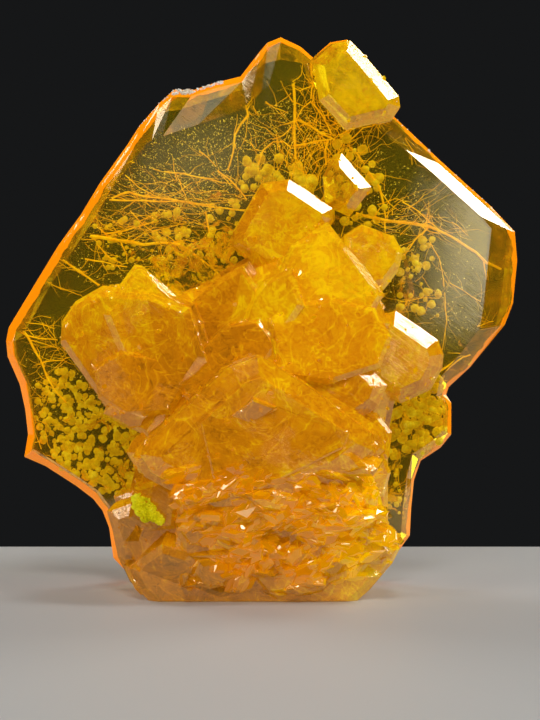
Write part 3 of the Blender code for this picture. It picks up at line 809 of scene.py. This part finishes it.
threadSet = {
    # each branch: start radius in mm, then its way across the plate (x, z) in mm
    "branches": [
        (0.10, [(-10.1, 32.1), (-8.4, 31.6), (-7.3, 31.1), (-5.8, 30.5), (-3.7, 30.4)]),
        (0.06, [(-7.3, 31.3), (-5.5, 31.0), (-3.9, 30.8), (-3.0, 30.5)]),
        (0.08, [(-11.2, 29.3), (-9.9, 29.8), (-8.4, 29.4), (-6.5, 29.2), (-4.7, 28.8), (-1.3, 28.3)]),
        (0.07, [(-11.4, 29.2), (-8.4, 29.1), (-5.4, 29.0), (-3.5, 28.8)]),
        (0.14, [(-12.8, 26.5), (-11.2, 26.2), (-9.2, 25.9), (-6.3, 25.9), (-5.2, 25.3)]),
        (0.09, [(-6.5, 26.0), (-4.7, 24.8), (-3.5, 23.8), (-2.5, 22.8)]),
        (0.04, [(-10.3, 31.1), (-9.2, 30.1), (-8.0, 29.5)]),
        (0.04, [(-4.7, 32.8), (-4.0, 32.2), (-3.4, 31.6)]),
        (0.08, [(-1.1, 36.1), (-1.0, 35.5), (-1.6, 34.8), (-2.0, 34.0), (-2.1, 33.1), (-2.3, 32.2),
                (-2.5, 31.3)]),
        (0.07, [(-3.4, 31.4), (-2.5, 30.7), (-1.6, 29.8), (-1.2, 29.2)]),
        (0.05, [(-4.2, 28.3), (-4.0, 26.8), (-4.1, 25.4)]),
        (0.04, [(-9.9, 28.3), (-9.0, 27.5), (-8.2, 26.9), (-7.0, 27.2), (-5.7, 27.5)]),
        (0.07, [(-11.8, 26.6), (-10.3, 26.9), (-9.0, 27.2), (-7.7, 27.6)]),
        (0.04, [(-12.2, 27.1), (-11.7, 26.5), (-10.5, 26.0)]),
        (0.10, [(-14.8, 24.6), (-13.7, 23.8), (-12.8, 23.2), (-12.2, 22.8)]),
        (0.04, [(-16.0, 23.0), (-15.0, 22.5), (-13.7, 22.1)]),
        (0.06, [(-13.3, 24.8), (-11.8, 24.5), (-10.1, 24.2)]),
        (0.06, [(-12.3, 25.8), (-11.6, 25.0), (-10.5, 24.4)]),
        (0.04, [(-17.7, 20.0), (-16.6, 19.9), (-15.6, 19.6)]),
        (0.08, [(-17.8, 19.3), (-17.2, 18.2), (-16.6, 17.2), (-16.2, 16.0), (-15.5, 14.8), (-14.7, 14.0)]),
        (0.05, [(-16.6, 16.9), (-15.7, 17.1), (-15.0, 17.2)]),
        (0.04, [(-18.4, 16.4), (-17.4, 16.6), (-16.6, 17.0)]),
        (0.04, [(-17.4, 18.7), (-16.3, 18.4), (-15.3, 18.1)]),
        (0.06, [(-17.7, 19.1), (-16.5, 18.8), (-15.3, 18.7)]),
        (0.04, [(-17.8, 14.2), (-16.9, 14.3), (-16.0, 14.5)]),
        (0.04, [(-17.6, 13.5), (-16.8, 13.6), (-16.0, 13.9)]),
        (0.05, [(-17.7, 13.0), (-16.9, 12.4), (-16.3, 11.9)]),
        (0.07, [(-17.7, 11.6), (-17.1, 10.9), (-16.3, 10.0), (-15.5, 9.4)]),
        (0.10, [(2.3, 37.8), (2.5, 36.4), (2.4, 34.9), (2.5, 32.2)]),
        (0.07, [(3.8, 39.4), (3.8, 37.9), (3.7, 36.7)]),
        (0.09, [(2.6, 35.1), (3.6, 34.7), (4.5, 34.1), (5.4, 33.7)]),
        (0.07, [(2.5, 33.2), (3.8, 33.5), (5.1, 33.7)]),
        (0.04, [(2.8, 37.3), (3.9, 37.6), (5.2, 37.8)]),
        (0.07, [(3.8, 36.4), (4.5, 35.5), (5.2, 34.1)]),
        (0.05, [(3.7, 36.5), (3.0, 36.0), (2.5, 35.0)]),
        (0.07, [(8.1, 36.5), (7.3, 35.7), (6.6, 34.9)]),
        (0.08, [(8.4, 35.3), (7.0, 34.8), (5.8, 34.0)]),
        (0.05, [(9.0, 34.9), (7.6, 34.5), (6.6, 33.6)]),
        (0.08, [(4.9, 33.7), (4.7, 32.8), (4.8, 31.8)]),
        (0.04, [(6.6, 33.1), (7.2, 32.5), (7.6, 31.9)]),
        (0.06, [(-0.3, 31.8), (0.0, 32.8), (0.8, 33.5), (1.6, 33.5), (2.2, 33.0)]),
        (0.04, [(-0.9, 33.6), (-0.5, 33.0), (0.2, 32.8)]),
        (0.04, [(0.8, 33.7), (1.6, 34.0), (2.2, 34.6)]),
        (0.13, [(7.0, 28.1), (9.2, 27.7), (10.7, 27.5), (12.6, 27.2), (14.1, 26.4), (16.0, 25.3),
                (16.8, 24.5), (17.9, 24.0), (18.7, 23.4)]),
        (0.09, [(7.9, 31.4), (8.8, 30.1), (9.3, 27.9)]),
        (0.05, [(10.5, 29.0), (11.7, 28.3), (13.3, 26.9)]),
        (0.03, [(14.2, 27.5), (14.8, 27.1), (15.4, 26.5)]),
        (0.07, [(12.4, 27.1), (11.5, 26.2), (10.6, 25.0)]),
        (0.04, [(12.6, 26.0), (13.3, 24.7), (13.7, 22.7)]),
        (0.03, [(13.7, 22.3), (13.9, 20.2), (13.6, 17.9)]),
        (0.03, [(10.2, 21.5), (11.8, 21.8), (13.3, 21.8)]),
        (0.03, [(14.1, 23.0), (15.1, 22.4), (16.4, 21.6)]),
        (0.03, [(16.2, 19.7), (17.1, 20.1), (18.0, 20.3)]),
        (0.08, [(13.0, 16.1), (13.9, 16.6), (15.0, 17.5), (16.5, 17.9)]),
        (0.04, [(10.6, 33.7), (11.1, 32.8), (11.2, 31.8)]),
        (0.04, [(0.3, 36.5), (1.0, 36.0), (1.9, 35.7)]),
        (0.03, [(-0.7, 36.2), (-0.5, 35.7), (-0.2, 35.5)]),
    ],
    "thickness": 1.1,           # times each branch's own radius
    # fans of hair: middle, direction and spread in degrees, count, shortest and longest in mm
    "fans": [
        ((-3.6, 28.2), 172.0, 26.0, 36, (2.5, 8.0)),
        ((-8.5, 27.5), 176.0, 34.0, 34, (2.0, 5.0)),
        ((-6.5, 25.0), 165.0, 40.0, 24, (2.0, 5.0)),
        ((2.2, 31.0), 100.0, 50.0, 60, (1.0, 4.5)),
        ((5.4, 31.5), 80.0, 60.0, 66, (1.5, 5.0)),
        ((6.4, 36.0), 90.0, 180.0, 130, (0.6, 2.6)),
        ((9.2, 28.0), 10.0, 60.0, 34, (1.5, 5.0)),
        ((10.0, 20.0), 10.0, 80.0, 40, (1.0, 3.0)),
        ((-14.0, 18.0), 200.0, 60.0, 22, (1.5, 4.0)),
        ((10.4, 13.0), 10.0, 80.0, 40, (1.0, 3.0)),
        ((10.0, 8.0), 60.0, 60.0, 20, (1.0, 2.2)),
    ],
    "scatter": (1.5, 1.3),      # mm, how far a fan's hairs start from its middle in x and z
    "spreading": 0.6,
    "hair": (0.010, 0.028),     # smallest and largest radius in mm
    "hairBend": 0.9,
    # twigs on each branch: how many, lengths in mm, turns in radians, thickness as a share
    "twigs": 7,
    "twigLengths": (0.5, 2.4),
    "twigTurn": 1.1,
    "twigBend": 0.6,
    "twigThickness": 0.45,
    "step": 0.3,                # mm between the points of a thread
    "branchDepths": (0.3, 0.8),
    "depths": (0.35, 1.6),
    "limits": (0.25, 1.75),     # mm, no thread leaves these depths
    "seed": 11,
    "colours": [(0.3, (0.76, 0.32, 0.0)), (0.5, (0.93, 0.50, 0.0)), (0.7, (1.0, 0.74, 0.02))],
    # painted glow: how strongly the threads give off their own colour
    "paintedGlow": 0.48,
}


def addThread(curve, way, depth, radius, wobble, chance, taper, s):
    # a polyline through the way, drifting a little, that stops at the plate's limit
    points = []
    for (x1, z1), (x2, z2) in zip(way, way[1:]):
        steps = max(2, int(math.hypot(x2 - x1, z2 - z1) / s["step"]))
        for step in range(steps):
            share = step / steps
            points.append([x1 + (x2 - x1) * share, z1 + (z2 - z1) * share])
    points.append(list(way[-1]))
    seedPoint = Vector((chance.random(), chance.random(), chance.random())) * 50.0
    shallow, deep = s["limits"]
    spots = []
    for x, z in points:
        drift = noise.noise_vector(seedPoint + Vector((x, z, 0.0)) * 0.7) * wobble
        if not insideOutline((x + drift.x, z + drift.z), threadLimit):
            break
        spots.append(Vector((x + drift.x, min(max(depth + drift.y, shallow), deep), z + drift.z)))
    addSpline(curve, spots, radius, taper)
    return points


def bentWay(x, z, heading, bend, length):
    knee = (x + math.cos(heading) * length * 0.5, z + math.sin(heading) * length * 0.5)
    tip = (knee[0] + math.cos(bend) * length * 0.5, knee[1] + math.sin(bend) * length * 0.5)
    return [(x, z), knee, tip]


def addSpline(curve, spots, radius, taper):
    # with small knots, and thinner toward its end
    if len(spots) < 3:
        return
    spline = curve.splines.new("POLY")
    spline.points.add(len(spots) - 1)
    for i, spot in enumerate(spots):
        knot = 1.0 + 0.35 * noise.noise(spot * 2.3)
        spline.points[i].co = (*(spot * mm), 1.0)
        spline.points[i].radius = radius * knot * (1.0 - taper * i / len(spots))


def newThreadCurve(name, resolution):
    curve = bpy.data.curves.new(name, "CURVE")
    curve.dimensions = "3D"
    curve.bevel_depth = 1.0 * mm
    curve.bevel_resolution = resolution
    curve.use_fill_caps = True
    return curve


def threadMesh(curve):
    holder = bpy.data.objects.new("thread_curves", curve)
    scene.collection.objects.link(holder)
    graph = bpy.context.evaluated_depsgraph_get()
    mesh = bpy.data.meshes.new_from_object(holder.evaluated_get(graph))
    bpy.data.objects.remove(holder)
    return mesh


def addTwig(curve, branch, points, radius, s, chance):
    x, z = chance.choice(points)
    heading = math.atan2(branch[-1][1] - branch[0][1], branch[-1][0] - branch[0][0])
    heading += chance.uniform(-s["twigTurn"], s["twigTurn"])
    if chance.random() < 0.5:
        heading += math.pi
    length = chance.uniform(*s["twigLengths"])
    way = bentWay(x, z, heading, heading + chance.uniform(-s["twigBend"], s["twigBend"]), length)
    depth = chance.uniform(*s["depths"])
    addThread(curve, way, depth, radius * s["twigThickness"], 0.25, chance, 0.8, s)


def addHair(curve, middle, direction, spread, lengths, s, chance):
    heading = math.radians(direction + chance.gauss(0.0, s["spreading"]) * spread)
    length = chance.uniform(*lengths)
    x = middle[0] + chance.gauss(0.0, s["scatter"][0])
    z = middle[1] + chance.gauss(0.0, s["scatter"][1])
    way = bentWay(x, z, heading, heading + chance.uniform(-s["hairBend"], s["hairBend"]), length)
    depth = chance.uniform(*s["depths"])
    addThread(curve, way, depth, chance.uniform(*s["hair"]), 0.5, chance, 0.7, s)


def makeThreads(s, material):
    chance = random.Random(s["seed"])
    noise.seed_set(s["seed"])    # else noise_vector differs from run to run
    curve = newThreadCurve("threads", 1)
    for radius, way in s["branches"]:
        depth = chance.uniform(*s["branchDepths"])
        points = addThread(curve, way, depth, radius * s["thickness"], 0.12, chance, 0.35, s)
        for twig in range(s["twigs"]):
            addTwig(curve, way, points, radius, s, chance)
    for middle, direction, spread, count, lengths in s["fans"]:
        for hair in range(count):
            addHair(curve, middle, direction, spread, lengths, s, chance)
    threads = smoothShaded(addObject("orange_threads", threadMesh(curve), material))
    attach(threads, "root")


threadLimit = plateOutline(0.4, 0.35)
makeThreads(threadSet, makeGrainMaterial("orange threads", threadSet))
print("threads made")


# dust of fine specks in the plate

speckSet = {
    "fields": [
        ([(-10.5, 30.0), (-8.0, 34.0), (-1.0, 35.6), (2.0, 36.8), (4.5, 35.0), (4.0, 31.0), (-4.0, 28.0)],
         3600),
        ([(-15.0, 24.0), (-10.0, 32.0), (-3.0, 30.0), (-4.0, 24.0), (-11.0, 22.0)], 1500),
        ([(7.0, 34.0), (12.0, 31.0), (13.0, 24.0), (9.5, 22.0), (7.0, 27.0)], 700),
        ([(-18.0, 18.0), (-13.0, 17.0), (-11.0, 12.0), (-16.8, 10.8)], 500),
        ([(13.0, 24.0), (12.0, 31.0), (16.0, 27.0), (15.5, 19.5), (12.5, 18.0)], 300),
    ],
    "radii": (0.016, 0.062),
    "depths": (0.2, 1.8),
    "seed": 5,
    "colours": [(0.3, (0.9, 0.6, 0.1)), (0.5, (1.0, 0.8, 0.35)), (0.7, (1.0, 0.9, 0.6))],
    # painted glow: how strongly the specks give off their own colour
    "paintedGlow": 0.6,
}


def makeSpecks(s, material):
    # each speck is a small four-sided splinter
    chance = random.Random(s["seed"])
    corners = [Vector((1, 1, 1)), Vector((1, -1, -1)), Vector((-1, 1, -1)), Vector((-1, -1, 1))]
    bm = bmesh.new()
    for outline, count in s["fields"]:
        for x, z in spotsIn(outline, count, chance):
            radius = s["radii"][0] + (s["radii"][1] - s["radii"][0]) * chance.random() ** 3
            spin = Matrix.Rotation(chance.uniform(0.0, math.tau), 3, "Y")
            spin = spin @ Matrix.Rotation(chance.uniform(0.0, math.pi), 3, "X")
            place = Vector((x, chance.uniform(*s["depths"]), z))
            verts = [bm.verts.new((place + spin @ corner * radius * 0.6) * mm) for corner in corners]
            for a, b, c in ((0, 1, 2), (0, 3, 1), (0, 2, 3), (1, 3, 2)):
                bm.faces.new((verts[a], verts[b], verts[c]))
    bmesh.ops.recalc_face_normals(bm, faces=bm.faces)
    specks = fromBmesh("fine_specks", bm, material)
    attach(specks, "root")


makeSpecks(speckSet, makeGrainMaterial("fine specks", speckSet))
print("specks made")


# fine fibres just inside the cluster's faces

fibreSet = {
    "count": 3000,
    "depths": (0.09, 0.5),      # mm below the faces
    "least": 0.075,             # mm, they stop nearer than this to any face
    "lengths": (0.5, 2.6),
    "steps": 6,
    "bend": 0.28,
    "radii": (0.012, 0.028),
    "seed": 17,
    "colours": [(0.3, (0.86, 0.42, 0.0)), (0.5, (1.0, 0.62, 0.02)), (0.7, (1.0, 0.82, 0.16))],
    # painted glow: how strongly the fibres give off their own colour
    "paintedGlow": 0.36,
}


clusterSet = {
    "facing": -0.15,      # faces that look forward by more than this
    "front": -0.9,        # mm, what stands in front of this depth
    "lowest": 0.8,        # mm, what lies above this height
}


def onCluster(place, normal):
    s = clusterSet
    return normal.y < s["facing"] and place.y < s["front"] * mm and place.z > s["lowest"] * mm


def spotsOnFaces(bm, count, chance):
    # random places on the cluster's front faces, with the way each face looks
    faces = [face for face in bm.faces if onCluster(face.calc_center_median(), face.normal)]
    weights = [face.calc_area() for face in faces]
    spots = []
    for face in chance.choices(faces, weights=weights, k=count):
        first, second = sorted((chance.random(), chance.random()))
        a, b, c = (vert.co for vert in face.verts[:3])
        spots.append((a * first + b * (second - first) + c * (1.0 - second), face.normal.copy()))
    return spots


def makeFibres(s, material):
    chance = random.Random(s["seed"])
    bm = mergedBmesh("wulfenite_crystals")
    bm.normal_update()
    shell = BVHTree.FromBMesh(bm)
    curve = newThreadCurve("fibres", 0)
    for place, normal in spotsOnFaces(bm, s["count"], chance):
        point = place - normal * chance.uniform(*s["depths"]) * mm
        spin = Matrix.Rotation(chance.uniform(0.0, math.tau), 3, normal)
        heading = spin @ normal.orthogonal().normalized()
        stride = chance.uniform(*s["lengths"]) / s["steps"] * mm
        spots = []
        for step in range(s["steps"] + 1):
            nearest, outward, index, distance = shell.find_nearest(point)
            if distance < s["least"] * mm or (point - nearest).dot(outward) > 0.0:
                break
            spots.append(point / mm)
            drift = Vector([chance.gauss(0.0, 1.0) for axis in range(3)])
            heading = (heading + drift * s["bend"]).normalized()
            point = point + heading * stride
        addSpline(curve, spots, chance.uniform(*s["radii"]), 0.6)
    bm.free()
    fibres = smoothShaded(addObject("cluster_fibres", threadMesh(curve), material))
    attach(fibres, "root")


makeFibres(fibreSet, makeGrainMaterial("cluster fibres", fibreSet))
print("fibres made")


# small crystals that break up the cluster's faces and edges

chipSet = {
    # how many, half lengths in mm, thickness as a share of that, tilt in radians, and the way the
    # long sides lie in degrees: middle and spread
    "faces": (170, (0.10, 0.34), (0.2, 0.45), 0.2, (0.0, 90.0)),
    "edges": (420, (0.07, 0.26), (0.3, 0.6), 0.5, (0.0, 90.0)),
    "rough": (320, (0.3, 1.1), (0.12, 0.32), 0.26, (24.0, 20.0)),
    "tries": 12,              # places tried over the whole cluster for each rough one
    # the rough part of the cluster, seen from the front in mm, and the depth it stays in front of
    "roughOutline": [
        (-6.2, 9.6), (0.0, 10.2), (8.6, 9.2), (9.6, 4.6), (6.8, 1.6), (-3.4, 1.2), (-4.4, 4.5), (-6.4, 6.8),
    ],
    "roughFront": -4.8,
    "slender": (0.3, 0.7),
    "taper": 0.72,
    "sunk": 0.3,
    "jitter": 0.56,
    "sharp": 0.35,
    "seed": 29,
    "lowShare": 0.8,          # near the cut a half length is at most this share of the height
    "clear": 0.35,
    "roughness": 0.06,
    "lighter": 0.1,
    # painted glow: how strongly the small crystals give off their own colour
    "paintedGlow": 0.26,
    "bump": (900.0, 0.6, 0.012),
}


def makeChipMaterial(s):
    material, tree, shader = newMaterial("small crystals")
    tone = maths(tree, "ADD", attribute(tree, "tone"), s["lighter"])
    colour = colourRamp(tree, tone, cloudSet["colours"])
    join(tree, colour, shader, "Base Color")
    # painted glow: the colour is also given off as emission
    join(tree, colour, shader, "Emission Color")
    setInputs(shader, {
        "Emission Strength": s["paintedGlow"],
        "Roughness": s["roughness"],
        "IOR": glassSet["ior"],
        "Transmission Weight": s["clear"],
        "Specular Tint": rgba(glassSet["shine"]),
    })
    fineness, strength, height = s["bump"]
    bumpNormal(tree, shader, addGrowthLines(tree, glassSet["turn"], fineness), strength, height * mm)
    return material


def addChip(bm, place, facing, angle, half, thickness, s, chance):
    # a slender tablet, smaller in front, sunk a little into the face
    sides = chance.choice((4, 5, 6))
    cone = bmesh.ops.create_cone(
        bm, cap_ends=True, segments=sides, radius1=half, radius2=half * s["taper"], depth=thickness)
    for vert in cone["verts"]:
        spot = Vector((vert.co.x, vert.co.y, 0.0)) * 1.4 / half + place * 900.0
        vert.co *= 1.0 + noise.noise(spot) * s["jitter"]
    slender = Matrix.Diagonal((1.0, chance.uniform(*s["slender"]), 1.0, 1.0))
    along = Vector((math.cos(angle), 0.0, math.sin(angle)))
    along = (along - facing * along.dot(facing)).normalized()
    turn = Matrix((along, facing.cross(along), facing)).transposed().to_4x4()
    lift = Matrix.Translation(place + facing * thickness * (0.5 - s["sunk"]))
    bmesh.ops.transform(bm, matrix=lift @ turn @ slender, verts=cone["verts"])


def spotsOnEdges(bm, count, chance, sharp):
    edges = []
    for edge in bm.edges:
        if len(edge.link_faces) == 2 and edge.is_convex and edge.calc_face_angle() > sharp:
            normal = (edge.link_faces[0].normal + edge.link_faces[1].normal).normalized()
            if onCluster(edge.verts[0].co, normal):
                edges.append((edge, normal))
    weights = [edge.calc_length() for edge, normal in edges]
    spots = []
    for edge, normal in chance.choices(edges, weights=weights, k=count):
        spots.append((edge.verts[0].co.lerp(edge.verts[1].co, chance.random()), normal))
    return spots


def inRoughZone(place, s):
    x, y, z = place / mm
    return y < s["roughFront"] and insideOutline((x, z), s["roughOutline"])


def makeChips(s, material):
    chance = random.Random(s["seed"])
    source = mergedBmesh("wulfenite_crystals")
    source.normal_update()
    many = spotsOnFaces(source, s["tries"] * s["rough"][0], chance)
    rough = [(place, normal) for place, normal in many if inRoughZone(place, s)]
    groups = [
        (spotsOnFaces(source, s["faces"][0], chance), s["faces"]),
        (spotsOnEdges(source, s["edges"][0], chance, s["sharp"]), s["edges"]),
        (rough, s["rough"]),
    ]
    source.free()
    bm = bmesh.new()
    for spots, (count, halves, flatness, tilt, (middle, spread)) in groups:
        for place, normal in spots[:count]:
            half = min(chance.uniform(*halves) * mm, s["lowShare"] * place.z)
            lean = Vector([chance.gauss(0.0, 1.0), chance.gauss(0.0, 0.5), chance.gauss(0.0, 1.0)]) * tilt
            angle = math.radians(chance.gauss(middle, spread))
            thickness = half * chance.uniform(*flatness)
            addChip(bm, place, (normal + lean).normalized(), angle, half, thickness, s, chance)
    bmesh.ops.recalc_face_normals(bm, faces=bm.faces)
    chips = fromBmesh("small_crystals", bm, material)
    storeTones(chips.data, cloudSet)
    chips.visible_shadow = False
    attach(chips, "root")


makeChips(chipSet, makeChipMaterial(chipSet))
print("small crystals made")


# pale crumbs where the plate's edge is bruised, and pale specks along the right upper edge that are painted
# glints

crumbAndGlintSet = {
    # from x to x in mm, how many, radii in mm, how far below the plate's upper outline in mm
    "stretches": [
        (-6.7, -5.2, 60, (0.05, 0.15), 0.34),
        (-5.2, -2.9, 46, (0.04, 0.11), 0.18),
        (-9.5, -6.7, 20, (0.03, 0.08), 0.10),
        # painted glints: pale specks along the right upper edge stand in for glints
        (8.8, 18.0, 34, (0.025, 0.07), 0.16),
    ],
    "fluff": 0.9,
    "from": -20.0,    # mm, in front of everything
    "seed": 41,
    "colours": [(0.3, (0.85, 0.74, 0.56)), (0.5, (0.96, 0.92, 0.84)), (0.7, (1.0, 1.0, 1.0))],
    # painted glow: how strongly the crumbs and glints give off their own colour
    "paintedGlow": 0.12,
}


def topOf(outline, x):
    heights = [0.0]
    for (x1, z1), (x2, z2) in zip(outline, outline[1:] + outline[:1]):
        if (x1 > x) != (x2 > x):
            heights.append(z1 + (z2 - z1) * (x - x1) / (x2 - x1))
    return max(heights)


def makeCrumbsAndGlints(s, material):
    chance = random.Random(s["seed"])
    source = mergedBmesh("wulfenite_crystals")
    shell = BVHTree.FromBMesh(source)
    source.free()
    bm = bmesh.new()
    for start, end, count, radii, reach in s["stretches"]:
        for crumb in range(count):
            x = chance.uniform(start, end)
            z = topOf(silhouette, x) - reach * chance.random()
            hit = shell.ray_cast(Vector((x, s["from"], z)) * mm, Vector((0.0, 1.0, 0.0)))[0]
            if hit:
                addGrain(bm, (x, hit.y / mm, z), chance.uniform(*radii), 1, s["fluff"])
    crumbs = fromBmesh("edge_crumbs_and_glints", bm, material)
    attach(crumbs, "root")


makeCrumbsAndGlints(crumbAndGlintSet, makeGrainMaterial("pale crumbs and painted glints", crumbAndGlintSet))
print("crumbs made")
